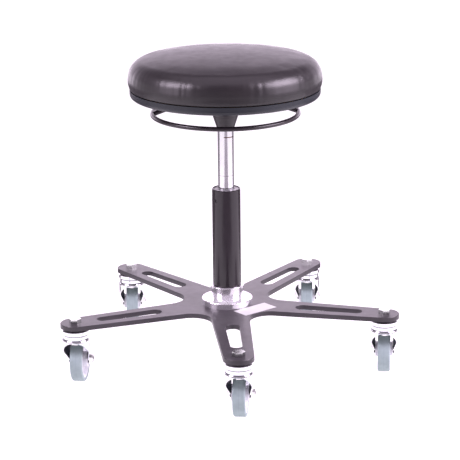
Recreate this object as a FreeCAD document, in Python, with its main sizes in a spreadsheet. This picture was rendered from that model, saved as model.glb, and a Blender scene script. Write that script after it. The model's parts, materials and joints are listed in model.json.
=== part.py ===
import FreeCAD, Part
import math
import os

import Sketcher

# Rolling stool in millimetres: +Z up, the origin on the floor on the column's axis, the front arm along -Y.
# It stands as photographed, with the seat raised and the castors trailing away from the front.

# Each castor's arm, in degrees from +X, and the way its wheel trails, in degrees from +Y towards +X.
CASTOR_ANGLES = {
    "front": (-90.0, 10.0),
    "right": (-18.0, 9.0),
    "rear_right": (54.0, 6.0),
    "rear_left": (126.0, 2.0),
    "left": (198.0, 11.0),
}
ARM_COUNT = len(CASTOR_ANGLES)
HALF_SECTOR = math.pi / ARM_COUNT
FRONT = -90.0
BALL_COUNT = 10
BUSH_SCREW_ANGLES = (-138.0, -165.0)
MOUNT_CORNERS = ((1, 1), (-1, 1), (-1, -1), (1, -1))

# The radius of an arc over its chord, from a quarter circle to a shallow curve.
QUARTER_RATIO = math.sqrt(0.5)
FULL_RATIO = 0.78
SHALLOW_RATIO = 1.4

SIZES = {
    # Fits: fixed pieces, moving pieces, and a bolt in its hole.
    "fit_gap": 0.1,
    "running_gap": 0.3,
    "hole_gap": 0.3,
    # Wheels and axles.
    "wheel_clearance": 8,
    "tread_width": 21.5,
    "tread_depth": 6,
    "tread_shoulder": 2.5,
    "rim_depth": 5,
    "rim_width": 20,
    "web_thickness": 8,
    "wheel_hub_diameter": 26,
    "wheel_hub_width": 28,
    "axle_shoulder_diameter": 12,
    "axle_diameter": 8,
    "axle_head_across_flats": 13,
    "axle_head_height": 5.3,
    "axle_nut_height": 6.5,
    "axle_tail": 1.5,
    "guard_diameter": 30,
    "guard_thickness": 1,
    # Forks and swivels.
    "castor_height": 108,
    "castor_trail": 30,
    "fork_sheet": 2,
    "fork_width": 47,
    "fork_shoulder_drop": 8,
    "fork_arch_drop": 2,
    "fork_crown_width": 40,
    "fork_crown_rear": 20,
    "axle_boss_radius": 10,
    "crown_diameter": 43.5,
    "crown_thickness": 11.6,
    "race_diameter": 48,
    "race_neck_diameter": 34,
    "race_flare": 4.5,
    "race_thickness": 6,
    "race_skirt": 5,
    "race_wall": 1.6,
    "race_space": 2.4,
    "race_edge": 1,
    "ball_diameter": 5,
    "ball_circle_radius": 17,
    "kingpin_diameter": 18,
    "kingpin_collar_diameter": 25,
    "kingpin_collar_thickness": 2.5,
    "castor_bolt_diameter": 12,
    "castor_bolt_across_flats": 19,
    "castor_bolt_head_height": 7.5,
    "castor_nut_height": 7.5,
    "castor_bolt_tail": 1.5,
    # Base plate.
    "plate_thickness": 8,
    "bolt_circle_radius": 283,
    "arm_root_radius": 36,
    "arm_tip_radius": 26,
    "valley_radius": 36,
    "slot_root_reach": 137,
    "slot_tip_reach": 233,
    "slot_root_radius": 12.3,
    "slot_tip_radius": 10.3,
    "plate_bore_radius": 17,
    "plate_edge": 0.7,
    # Hub and column.
    "flange_diameter": 89.6,
    "flange_thickness": 10.5,
    "flange_edge": 1.2,
    "neck_root_diameter": 53,
    "neck_top_diameter": 60,
    "neck_height": 24,
    "hub_screw_circle_radius": 36,
    "hub_screw_diameter": 8,
    "hub_screw_head_diameter": 13,
    "hub_screw_head_height": 4,
    "hub_screw_depth": 7,
    "column_diameter": 50,
    "column_wall": 2,
    "column_length": 210.5,
    "column_floor": 5,
    "column_edge": 1,
    "bush_length": 78,
    "bush_recess": 1.2,
    "bush_screw_diameter": 6,
    "bush_screw_length": 6,
    "bush_screw_drop": 19,
    # Gas lift.
    "rod_diameter": 10,
    "rod_collar_diameter": 20,
    "rod_collar_thickness": 3,
    "rod_tail": 6,
    "rod_groove_depth": 1,
    "clip_diameter": 18,
    "clip_thickness": 1.6,
    "thrust_diameter": 28,
    "thrust_washer": 2,
    "thrust_ball_diameter": 4,
    "thrust_ball_circle_radius": 9.5,
    "tube_diameter": 28,
    "tube_wall": 2,
    "tube_lift": 99,
    "gland_length": 11,
    "piston_length": 14,
    "piston_spare": 3,
    "valve_body_length": 34,
    "valve_pin_diameter": 8,
    "valve_pin_length": 26,
    "valve_pin_dome": 1.2,
    "valve_pin_travel": 3,
    # Seat mechanism, hung from the seat's underside, whose height is given over the base plate.
    "seat_rise": 375,
    "mount_plate_width": 120,
    "mount_plate_thickness": 4,
    "mount_screw_reach": 45,
    "housing_wall_height": 19.5,
    "housing_wall": 3,
    "housing_wall_reach": 31,
    "housing_flange_diameter": 68,
    "housing_flange_thickness": 3.5,
    "cone_top_diameter": 44,
    "cone_foot_diameter": 31,
    "cone_length": 28,
    "cone_flare": 8.5,
    "tube_reach_in_flange": 2,
    "rocker_pin_diameter": 8,
    "rocker_pin_reach": 20,
    "rocker_pin_drop": 15,
    "rocker_pin_tail": 2,
    "rocker_ear_reach": 13,
    "rocker_barrel_diameter": 13,
    "rocker_width": 38,
    "rocker_plate_thickness": 4,
    "rocker_plate_tail": 9,
    # Release ring.
    "ring_radius": 126.4,
    "ring_rod_diameter": 8,
    "ring_drop": 30,
    "ring_arm_slope_reach": 42,
    "ring_arm_bend": 16,
    # Seat.
    "pan_height": 14.5,
    "pan_round": 8,
    "pan_wall": 3,
    "board_diameter": 306,
    "board_gap": 4,
    "board_thickness": 12,
    "mount_screw_diameter": 8,
    "mount_screw_across_flats": 13,
    "mount_screw_head_height": 5.3,
    "tee_nut_diameter": 11,
    "tee_nut_flange_diameter": 22,
    "tee_nut_flange_thickness": 1.5,
    "cushion_diameter": 335.4,
    "cushion_base_diameter": 329,
    "cushion_widest_rise": 17,
    "cushion_shoulder_diameter": 290,
    "cushion_shoulder_rise": 48,
    "cushion_height": 60,
}

doc = FreeCAD.newDocument("rolling_stool")
sheet = doc.addObject("Spreadsheet::Sheet", "sizes")
for row, (alias, value) in enumerate(SIZES.items(), start=1):
    sheet.set(f"A{row}", alias)
    sheet.set(f"B{row}", str(value))
    sheet.setAlias(f"B{row}", alias)
doc.recompute()


class Size:
    """A length as a number, together with the expression that gives it from the sheet."""

    def __init__(self, value, text):
        self.value = value
        self.text = text

    def __add__(self, other):
        other = as_size(other)
        return Size(self.value + other.value, f"({self.text} + {other.text})")

    def __radd__(self, other):
        return as_size(other) + self

    def __sub__(self, other):
        other = as_size(other)
        return Size(self.value - other.value, f"({self.text} - {other.text})")

    def __rsub__(self, other):
        return as_size(other) - self

    def __mul__(self, other):
        other = as_size(other)
        return Size(self.value * other.value, f"({self.text} * {other.text})")

    def __rmul__(self, other):
        return as_size(other) * self

    def __truediv__(self, other):
        other = as_size(other)
        return Size(self.value / other.value, f"({self.text} / {other.text})")

    def __neg__(self):
        return Size(-self.value, f"(-{self.text})")

    def root(self):
        return Size(math.sqrt(self.value), f"sqrt({self.text})")


def as_size(number):
    """A bare number as a size, or the size itself."""
    if isinstance(number, Size):
        return number
    return Size(float(number), f"({float(number):.12f})")


class Sheet:
    """The sheet's sizes by name."""

    def __getattr__(self, alias):
        return Size(float(SIZES[alias]), f"sizes.{alias}")


s = Sheet()


def length_of(across, up):
    return (across * across + up * up).root()


def dome_radius(half_width, rise):
    """The radius of an arc that is level at its middle."""
    return (half_width * half_width + rise * rise) / (2 * rise)


def bind(thing, path, size):
    """Ties a property to the sheet."""
    thing.setExpression(path, as_size(size).text)


sub_parts = []


def new_body(label):
    """A body that is a sub-part of its own."""
    body = doc.addObject("PartDesign::Body", label)
    body.Label = label
    body.AllowCompound = True
    sub_parts.append(body)
    return body


def origin_feature(body, role):
    return next(feature for feature in body.Origin.OriginFeatures if feature.Role == role)


def new_sketch(body, plane, offset=0):
    """A sketch on one of the body's origin planes, moved along the plane's normal."""
    sketch = body.newObject("Sketcher::SketchObject", body.Label + "_sketch")
    sketch.AttachmentSupport = [(origin_feature(body, plane), "")]
    sketch.MapMode = "FlatFace"
    bind(sketch, "AttachmentOffset.Base.z", offset)
    return sketch


def new_facing_sketch(body, angle, reach):
    """An upright sketch that faces away from the axis in that direction, at that reach from it."""
    sketch = new_sketch(body, "YZ_Plane")
    turn = FreeCAD.Rotation(FreeCAD.Vector(0, 1, 0), angle)
    sketch.AttachmentOffset = FreeCAD.Placement(FreeCAD.Vector(), turn)
    bind(sketch, "AttachmentOffset.Base.x", reach * math.sin(math.radians(angle)))
    bind(sketch, "AttachmentOffset.Base.z", reach * math.cos(math.radians(angle)))
    return sketch


def fix(sketch, kind, references, size):
    """Adds a dimension and ties it to the sheet."""
    size = as_size(size)
    index = sketch.addConstraint(Sketcher.Constraint(kind, *references, size.value))
    sketch.setExpression(f"Constraints[{index}]", size.text)


def fix_point(sketch, geometry, position, across, up):
    fix(sketch, "DistanceX", (-1, 1, geometry, position), across)
    fix(sketch, "DistanceY", (-1, 1, geometry, position), up)


def draw_circle(sketch, across, up, radius):
    across, up, radius = as_size(across), as_size(up), as_size(radius)
    centre = FreeCAD.Vector(across.value, up.value, 0)
    index = sketch.addGeometry(Part.Circle(centre, FreeCAD.Vector(0, 0, 1), radius.value), False)
    fix_point(sketch, index, 3, across, up)
    fix(sketch, "Radius", (index,), radius)


def draw_upright_axis(sketch, across, height):
    """A construction line to turn an outline about."""
    foot = FreeCAD.Vector(across.value, 0, 0)
    head = FreeCAD.Vector(across.value, height.value, 0)
    index = sketch.addGeometry(Part.LineSegment(foot, head), True)
    fix_point(sketch, index, 1, across, 0)
    fix_point(sketch, index, 2, across, height)


def arc_between(start, end, radius, left):
    """The arc under a half circle from start to end that turns left or right, drawn counter-clockwise."""
    chord = end - start
    height = math.sqrt(max(radius ** 2 - chord.Length ** 2 / 4, 0))
    side = FreeCAD.Vector(-chord.y, chord.x, 0).normalize() * (height if left else -height)
    centre = (start + end) * 0.5 + side
    first, last = (start, end) if left else (end, start)
    angles = [math.atan2(point.y - centre.y, point.x - centre.x) for point in (first, last)]
    return Part.ArcOfCircle(Part.Circle(centre, FreeCAD.Vector(0, 0, 1), radius), *angles)


def draw_outline(sketch, points, closed=True):
    """Draws an outline through points of (across, up), or of (across, up, side, radius) where an arc
    leads to the point and turns to that side. A radius that is a bare number is a multiple of the
    arc's chord."""
    places = [(as_size(point[0]), as_size(point[1])) for point in points]
    spots = [FreeCAD.Vector(across.value, up.value, 0) for across, up in places]
    runs = []
    for index, point in enumerate(points):
        if index == 0 and not closed:
            continue
        start, end = spots[index - 1], spots[index]
        if len(point) == 2:
            runs.append((sketch.addGeometry(Part.LineSegment(start, end), False), 1, 2))
        else:
            radius = point[3]
            if not isinstance(radius, Size):
                before, here = places[index - 1], places[index]
                radius = length_of(here[0] - before[0], here[1] - before[1]) * radius
            left = point[2] == "left"
            geometry = sketch.addGeometry(arc_between(start, end, radius.value, left), False)
            runs.append((geometry, 1, 2) if left else (geometry, 2, 1))
            fix(sketch, "Radius", (geometry,), radius)
        fix_point(sketch, runs[-1][0], runs[-1][2], *places[index])
    if not closed:
        fix_point(sketch, runs[0][0], runs[0][1], *places[0])
    for index in range(0 if closed else 1, len(runs)):
        before, here = runs[index - 1], runs[index]
        sketch.addConstraint(Sketcher.Constraint("Coincident", before[0], before[2], here[0], here[1]))


def draw_hexagon(sketch, across, up, across_flats):
    """A hexagon with flats to its left and right."""
    half = across_flats / 2
    corner = across_flats / math.sqrt(3)
    draw_outline(sketch, [
        (across + half, up - corner / 2), (across + half, up + corner / 2), (across, up + corner),
        (across - half, up + corner / 2), (across - half, up - corner / 2), (across, up - corner)])


def draw_rectangle(sketch, left, right, bottom, top):
    draw_outline(sketch, [(left, bottom), (right, bottom), (right, top), (left, top)])


def pad(body, sketch, length, backward=False, symmetric=False):
    feature = body.newObject("PartDesign::Pad", body.Label + "_pad")
    feature.Profile = sketch
    feature.Midplane = symmetric
    feature.Reversed = backward
    bind(feature, "Length", length)
    return feature


def pocket(body, sketch, depth, forward=False, symmetric=False):
    """Cuts a sketch into the body, against the sketch's normal unless forward is set."""
    feature = body.newObject("PartDesign::Pocket", body.Label + "_pocket")
    feature.Profile = sketch
    feature.Midplane = symmetric
    feature.Reversed = forward
    bind(feature, "Length", depth)
    return feature


def revolve(body, sketch, axis="V_Axis", angle=360):
    feature = body.newObject("PartDesign::Revolution", body.Label + "_turning")
    feature.Profile = sketch
    feature.ReferenceAxis = (sketch, [axis])
    feature.Angle = angle
    return feature


def repeat_round(body, features):
    """Repeats features at every arm, round the body's upright axis."""
    pattern = body.newObject("PartDesign::PolarPattern", body.Label + "_pattern")
    pattern.Originals = features
    pattern.Axis = (origin_feature(body, "Z_Axis"), [""])
    pattern.Angle = 360
    pattern.Occurrences = ARM_COUNT
    body.Tip = pattern


def turned(label, *outlines, axis="V_Axis"):
    """A piece turned about the upright axis, or about the level axis of its sketch."""
    body = new_body(label)
    sketch = new_sketch(body, "XZ_Plane")
    for points in outlines:
        draw_outline(sketch, points)
    revolve(body, sketch, axis)
    return body


def ring_outline(inner, outer, bottom, top):
    return [(inner, bottom), (outer, bottom), (outer, top), (inner, top)]


def place(body, x=0, y=0, z=0, turn=0.0):
    """Puts a body at its place, turned about the upright axis."""
    body.Placement = FreeCAD.Placement(FreeCAD.Vector(), FreeCAD.Rotation(FreeCAD.Vector(0, 0, 1), turn))
    for name, size in zip("xyz", (x, y, z)):
        bind(body, f"Placement.Base.{name}", size)


def at_angle(radius, degrees):
    """The place at that radius from the axis in that direction."""
    return radius * math.cos(math.radians(degrees)), radius * math.sin(math.radians(degrees))


# Heights and radii that several pieces share.
plate_top = s.castor_height + s.plate_thickness
flange_top = plate_top + s.flange_thickness
column_top = plate_top + s.column_length
column_floor_top = plate_top + s.column_floor
column_bore = s.column_diameter / 2 - s.column_wall
tube_radius = s.tube_diameter / 2
tube_bore = tube_radius - s.tube_wall
rod_hole = s.rod_diameter / 2 + s.running_gap
race_bottom = s.castor_height - s.race_thickness
crown_top = race_bottom - s.race_space
crown_bottom = crown_top - s.crown_thickness
wheel_diameter = crown_bottom - s.wheel_clearance
axle_height = wheel_diameter / 2
ball_groove = s.ball_diameter / 2 + s.fit_gap
ball_groove_reach = (ball_groove * ball_groove - s.race_space * s.race_space / 4).root()
kingpin_collar_top = crown_bottom - s.running_gap
castor_nut_top = kingpin_collar_top - s.kingpin_collar_thickness
castor_nut_bottom = castor_nut_top - s.castor_nut_height
fork_foot_inside = s.wheel_hub_width / 2 + s.guard_thickness + 2 * s.running_gap
fork_foot_outside = fork_foot_inside + s.fork_sheet
collar_bottom = column_floor_top + 2 * s.thrust_washer + s.thrust_ball_diameter + s.running_gap
collar_top = collar_bottom + s.rod_collar_thickness
tube_bottom = collar_top + s.tube_lift
gland_top = tube_bottom + s.gland_length
piston_top = gland_top + s.piston_spare + s.piston_length
seat_base = plate_top + s.seat_rise
mount_bottom = seat_base - s.mount_plate_thickness
housing_flange_top = mount_bottom - s.housing_wall_height
housing_flange_bottom = housing_flange_top - s.housing_flange_thickness
tube_top = housing_flange_bottom + s.tube_reach_in_flange
rocker_pin_height = seat_base - s.rocker_pin_drop
rocker_plate_bottom = rocker_pin_height - s.rocker_plate_thickness / 2
valve_pin_top = rocker_plate_bottom - s.running_gap
board_bottom = seat_base + s.pan_wall
board_top = board_bottom + s.board_thickness
tee_nut_seat = board_top - s.tee_nut_flange_thickness


def make_base_plate():
    """Flat five-armed plate: each arm tapers to a round pad and has a long slot, with valleys between."""
    body = new_body("base_plate")
    sketch = new_sketch(body, "XY_Plane", s.castor_height)
    sector_sine, sector_cosine = math.sin(HALF_SECTOR), math.cos(HALF_SECTOR)
    sine = (s.arm_root_radius - s.arm_tip_radius) / s.bolt_circle_radius
    cosine = (1 - sine * sine).root()
    valley_centre = (s.arm_root_radius + s.valley_radius) / (cosine * sector_sine + sine * sector_cosine)
    valley = valley_centre - s.valley_radius
    side_x = valley_centre * sector_cosine - s.valley_radius * sine
    side_y = valley_centre * sector_sine - s.valley_radius * cosine
    tip_x = s.bolt_circle_radius + s.arm_tip_radius * sine
    tip_y = s.arm_tip_radius * cosine
    bore = s.plate_bore_radius
    draw_outline(sketch, [
        (bore * sector_cosine, -(bore * sector_sine), "right", bore),
        (valley * sector_cosine, -(valley * sector_sine)),
        (side_x, -side_y, "right", s.valley_radius),
        (tip_x, -tip_y),
        (s.bolt_circle_radius + s.arm_tip_radius, 0, "left", s.arm_tip_radius),
        (tip_x, tip_y, "left", s.arm_tip_radius),
        (side_x, side_y),
        (valley * sector_cosine, valley * sector_sine, "right", s.valley_radius),
        (bore * sector_cosine, bore * sector_sine)])
    draw_circle(sketch, s.bolt_circle_radius, 0, s.castor_bolt_diameter / 2 + s.hole_gap)
    sine = (s.slot_root_radius - s.slot_tip_radius) / (s.slot_tip_reach - s.slot_root_reach)
    cosine = (1 - sine * sine).root()
    root_x = s.slot_root_reach + s.slot_root_radius * sine
    root_y = s.slot_root_radius * cosine
    tip_x = s.slot_tip_reach + s.slot_tip_radius * sine
    tip_y = s.slot_tip_radius * cosine
    draw_outline(sketch, [
        (root_x, -root_y, "left", s.slot_root_radius),
        (tip_x, -tip_y),
        (s.slot_tip_reach + s.slot_tip_radius, 0, "left", s.slot_tip_radius),
        (tip_x, tip_y, "left", s.slot_tip_radius),
        (root_x, root_y),
        (s.slot_root_reach - s.slot_root_radius, 0, "left", s.slot_root_radius)])
    arm = pad(body, sketch, s.plate_thickness)
    repeat_round(body, [arm])
    holes = new_sketch(body, "XY_Plane", s.castor_height)
    counterbores = new_sketch(body, "XY_Plane", s.castor_height)
    draw_hub_screws(holes, s.hub_screw_diameter / 2 + s.hole_gap)
    draw_hub_screws(counterbores, s.hub_screw_head_diameter / 2 + s.hole_gap)
    pocket(body, holes, s.plate_thickness, forward=True)
    pocket(body, counterbores, s.hub_screw_head_height, forward=True)
    ease_arm_edges(body)
    place(body, turn=FRONT)


def ease_arm_edges(body):
    """Chamfers the upper edges of the arms and their slots, outside the hub's flange."""
    doc.recompute()
    base = body.Tip
    flange_radius = s.flange_diameter.value / 2
    edges = []
    for index, edge in enumerate(base.Shape.Edges, start=1):
        middle = edge.CenterOfMass
        on_top = edge.BoundBox.ZMin > plate_top.value - s.plate_edge.value / 2
        if on_top and math.hypot(middle.x, middle.y) > flange_radius:
            edges.append(f"Edge{index}")
    chamfer = body.newObject("PartDesign::Chamfer", body.Label + "_edge")
    chamfer.Base = (base, edges)
    bind(chamfer, "Size", s.plate_edge)


def draw_hub_screws(sketch, radius):
    """Circles for the hub's screws, between the arms."""
    for index in range(ARM_COUNT):
        angle = math.degrees((2 * index + 1) * HALF_SECTOR)
        draw_circle(sketch, *at_angle(s.hub_screw_circle_radius, angle), radius)


def make_hub():
    """Polished socket that holds the column: a flange on the plate and a neck that widens upwards."""
    bore = s.column_diameter / 2 + s.fit_gap
    neck_root = s.neck_root_diameter / 2
    neck_rim = s.neck_top_diameter / 2
    neck_top = flange_top + s.neck_height
    rim = s.flange_diameter / 2
    edge = s.flange_edge
    body = turned("hub_socket", [
        (bore, plate_top), (rim, plate_top),
        (rim, flange_top - edge), (rim - edge, flange_top, "left", QUARTER_RATIO),
        (neck_root + edge, flange_top), (neck_root, flange_top + edge, "right", QUARTER_RATIO),
        (neck_rim, neck_top - edge), (neck_rim - edge, neck_top, "left", QUARTER_RATIO), (bore, neck_top)])
    holes = new_sketch(body, "XY_Plane", plate_top)
    draw_hub_screws(holes, s.hub_screw_diameter / 2 + s.fit_gap)
    pocket(body, holes, s.hub_screw_depth + s.fit_gap, forward=True)
    place(body, turn=FRONT)
    screws = new_body("hub_screws")
    heads = new_sketch(screws, "XY_Plane", s.castor_height)
    draw_hub_screws(heads, s.hub_screw_head_diameter / 2)
    pad(screws, heads, s.hub_screw_head_height)
    shanks = new_sketch(screws, "XY_Plane", s.castor_height + s.hub_screw_head_height)
    draw_hub_screws(shanks, s.hub_screw_diameter / 2)
    pad(screws, shanks, s.plate_thickness - s.hub_screw_head_height + s.hub_screw_depth)
    place(screws, turn=FRONT)


def make_column():
    """Outer tube with a closed foot, the guide bush in its mouth and the bush's two set screws."""
    outer = s.column_diameter / 2
    edge = s.column_edge
    tube = turned("column_tube", [
        (rod_hole, plate_top), (outer - edge, plate_top), (outer, plate_top + edge),
        (outer, column_top - edge), (outer - edge, column_top),
        (column_bore, column_top), (column_bore, column_floor_top),
        (rod_hole, column_floor_top)])
    bush_inner = tube_radius + s.running_gap
    bush_outer = column_bore - s.fit_gap
    bush_top = column_top - s.bush_recess
    bush_bottom = bush_top - s.bush_length
    bush = turned("guide_bush", [
        (bush_inner, bush_bottom), (bush_outer, bush_bottom), (bush_outer, bush_top),
        (bush_inner + edge, bush_top), (bush_inner, bush_top - edge)])
    screws = new_body("bush_screws")
    screw_height = column_top - s.bush_screw_drop
    screw_radius = s.bush_screw_diameter / 2
    screw_start = outer - s.bush_screw_length
    for angle in BUSH_SCREW_ANGLES:
        for body in (tube, bush):
            hole = new_facing_sketch(body, angle, screw_start - s.fit_gap)
            draw_circle(hole, 0, screw_height, screw_radius + s.fit_gap)
            pocket(body, hole, s.bush_screw_length + s.column_wall, forward=True)
        shank = new_facing_sketch(screws, angle, screw_start)
        draw_circle(shank, 0, screw_height, screw_radius)
        pad(screws, shank, s.bush_screw_length - s.column_edge)


def make_balls(label, centres, height, circle_radius, diameter):
    """Balls in a circle round each centre."""
    balls = []
    for x, y in centres:
        for index in range(BALL_COUNT):
            aside, along = at_angle(circle_radius, 360 * index / BALL_COUNT)
            ball = doc.addObject("Part::Sphere", label + "_ball")
            bind(ball, "Radius", diameter / 2)
            for name, size in zip("xyz", (x + aside, y + along, height)):
                bind(ball, f"Placement.Base.{name}", size)
            balls.append(ball)
    group = doc.addObject("Part::Compound", label)
    group.Label = label
    group.Links = balls
    sub_parts.append(group)


def make_gas_lift():
    """Rod on its axial bearing in the column's foot, and the pressure tube that slides on its piston."""
    washer_radius = s.thrust_diameter / 2
    lower_top = column_floor_top + s.thrust_washer
    upper_bottom = lower_top + s.thrust_ball_diameter
    turned("thrust_washers", ring_outline(rod_hole, washer_radius, column_floor_top, lower_top),
           ring_outline(rod_hole, washer_radius, upper_bottom, upper_bottom + s.thrust_washer))
    make_balls("thrust_balls", [(as_size(0), as_size(0))], lower_top + s.thrust_ball_diameter / 2,
               s.thrust_ball_circle_radius, s.thrust_ball_diameter - s.fit_gap)
    rod = s.rod_diameter / 2
    collar = s.rod_collar_diameter / 2
    neck = rod - s.rod_groove_depth
    clip_top = plate_top - s.running_gap
    clip_bottom = clip_top - s.clip_thickness
    turned("piston_rod", [
        (0, plate_top - s.rod_tail), (rod, plate_top - s.rod_tail), (rod, clip_bottom - s.fit_gap),
        (neck, clip_bottom - s.fit_gap), (neck, clip_top + s.fit_gap), (rod, clip_top + s.fit_gap),
        (rod, collar_bottom), (collar, collar_bottom), (collar, collar_top), (rod, collar_top),
        (rod, piston_top), (0, piston_top)])
    turned("rod_clip", ring_outline(neck + s.fit_gap, s.clip_diameter / 2, clip_bottom, clip_top))
    piston_bottom = piston_top - s.piston_length
    turned("piston", ring_outline(rod + s.fit_gap, tube_bore - s.running_gap, piston_bottom, piston_top))
    turned("pressure_tube", ring_outline(tube_bore, tube_radius, tube_bottom, tube_top))
    turned("tube_gland", ring_outline(rod_hole, tube_bore - s.fit_gap, tube_bottom, gland_top))
    pin = s.valve_pin_diameter / 2
    pin_bottom = valve_pin_top - s.valve_pin_length
    well = pin + s.running_gap
    well_bottom = pin_bottom - s.valve_pin_travel
    body_radius = tube_bore - s.fit_gap
    body_bottom = tube_top - s.valve_body_length
    turned("valve_body", [
        (0, body_bottom), (body_radius, body_bottom), (body_radius, tube_top),
        (well, tube_top), (well, well_bottom), (0, well_bottom)])
    turned("valve_pin", [
        (0, pin_bottom), (pin, pin_bottom), (pin, valve_pin_top - s.valve_pin_dome),
        (0, valve_pin_top, "left", dome_radius(pin, s.valve_pin_dome))])


def draw_mount_screws(sketch, radius):
    for across, along in MOUNT_CORNERS:
        draw_circle(sketch, across * s.mount_screw_reach, along * s.mount_screw_reach, radius)


def make_mechanism():
    """Housing under the seat: a cone on the tube, walls that hold the rocker's pin, and a plate on top."""
    body = new_body("mechanism_housing")
    profile = new_sketch(body, "XZ_Plane")
    bore = tube_radius + s.fit_gap
    cone_bottom = housing_flange_bottom - s.cone_length
    cone_top = s.cone_top_diameter / 2
    flange = s.housing_flange_diameter / 2
    draw_outline(profile, [
        (bore, cone_bottom), (s.cone_foot_diameter / 2, cone_bottom),
        (cone_top, housing_flange_bottom - s.cone_flare),
        (cone_top + s.cone_flare, housing_flange_bottom, "right", FULL_RATIO),
        (flange, housing_flange_bottom), (flange, housing_flange_top), (bore, housing_flange_top)])
    revolve(body, profile)
    walls = new_sketch(body, "XY_Plane", housing_flange_top)
    ear_inside = s.rocker_width / 2 + s.running_gap
    ear_outside = ear_inside + s.housing_wall
    wall_outside = s.housing_wall_reach
    wall_inside = wall_outside - s.housing_wall
    ear_end = s.rocker_ear_reach
    draw_outline(walls, [
        (-ear_outside, -wall_outside), (ear_outside, -wall_outside),
        (ear_outside, -ear_end), (ear_inside, -ear_end),
        (ear_inside, -wall_inside), (-ear_inside, -wall_inside),
        (-ear_inside, -ear_end), (-ear_outside, -ear_end)])
    draw_rectangle(walls, -ear_outside, ear_outside, wall_inside, wall_outside)
    pad(body, walls, s.housing_wall_height)
    mount = new_sketch(body, "XY_Plane", mount_bottom)
    half = s.mount_plate_width / 2
    draw_rectangle(mount, -half, half, -half, half)
    draw_mount_screws(mount, s.mount_screw_diameter / 2 + s.hole_gap)
    pad(body, mount, s.mount_plate_thickness)
    pin_hole = new_sketch(body, "YZ_Plane")
    draw_circle(pin_hole, -s.rocker_pin_reach, rocker_pin_height, s.rocker_pin_diameter / 2 + s.fit_gap)
    pocket(body, pin_hole, 4 * ear_outside, symmetric=True)
    pin = new_body("rocker_pin")
    pin_end = new_sketch(pin, "YZ_Plane")
    draw_circle(pin_end, -s.rocker_pin_reach, rocker_pin_height, s.rocker_pin_diameter / 2)
    pad(pin, pin_end, 2 * (ear_outside + s.rocker_pin_tail), symmetric=True)


def make_release():
    """Rocker on its pin over the valve, and the rod ring whose two arms carry it."""
    rocker = new_body("rocker")
    barrel = new_sketch(rocker, "YZ_Plane")
    draw_circle(barrel, -s.rocker_pin_reach, rocker_pin_height, s.rocker_barrel_diameter / 2)
    pad(rocker, barrel, s.rocker_width, symmetric=True)
    blade = new_sketch(rocker, "YZ_Plane")
    draw_rectangle(blade, -s.rocker_pin_reach, s.rocker_plate_tail, rocker_plate_bottom,
                   rocker_plate_bottom + s.rocker_plate_thickness)
    pad(rocker, blade, s.rocker_width, symmetric=True)
    bore = new_sketch(rocker, "YZ_Plane")
    draw_circle(bore, -s.rocker_pin_reach, rocker_pin_height, s.rocker_pin_diameter / 2 + s.running_gap)
    pocket(rocker, bore, 2 * s.rocker_width, symmetric=True)
    ring = new_body("release_ring")
    section = new_sketch(ring, "XZ_Plane")
    ring_height = seat_base - s.ring_drop
    rod = s.ring_rod_diameter / 2
    draw_circle(section, s.ring_radius, ring_height, rod)
    revolve(ring, section)
    arm_start = s.rocker_width / 2
    run = s.ring_arm_slope_reach
    drop = rocker_pin_height - ring_height
    slope = length_of(run, drop)
    bend_length = s.ring_arm_bend * (slope - run) / drop
    bend_reach = bend_length * run / slope
    bend_drop = bend_length * drop / slope
    corner = s.ring_radius - run
    path = new_sketch(ring, "XZ_Plane")
    draw_outline(path, [
        (arm_start, rocker_pin_height), (corner - bend_length, rocker_pin_height),
        (corner + bend_reach, rocker_pin_height - bend_drop, "right", s.ring_arm_bend),
        (s.ring_radius, ring_height)], closed=False)
    arm_section = new_sketch(ring, "YZ_Plane", arm_start)
    draw_circle(arm_section, 0, rocker_pin_height, rod)
    arm = ring.newObject("PartDesign::AdditivePipe", "release_ring_arm")
    arm.Profile = arm_section
    arm.Spine = path
    other_arm = ring.newObject("PartDesign::Mirrored", "release_ring_other_arm")
    other_arm.Originals = [arm]
    other_arm.MirrorPlane = (origin_feature(ring, "YZ_Plane"), [""])
    ring.Tip = other_arm


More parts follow.
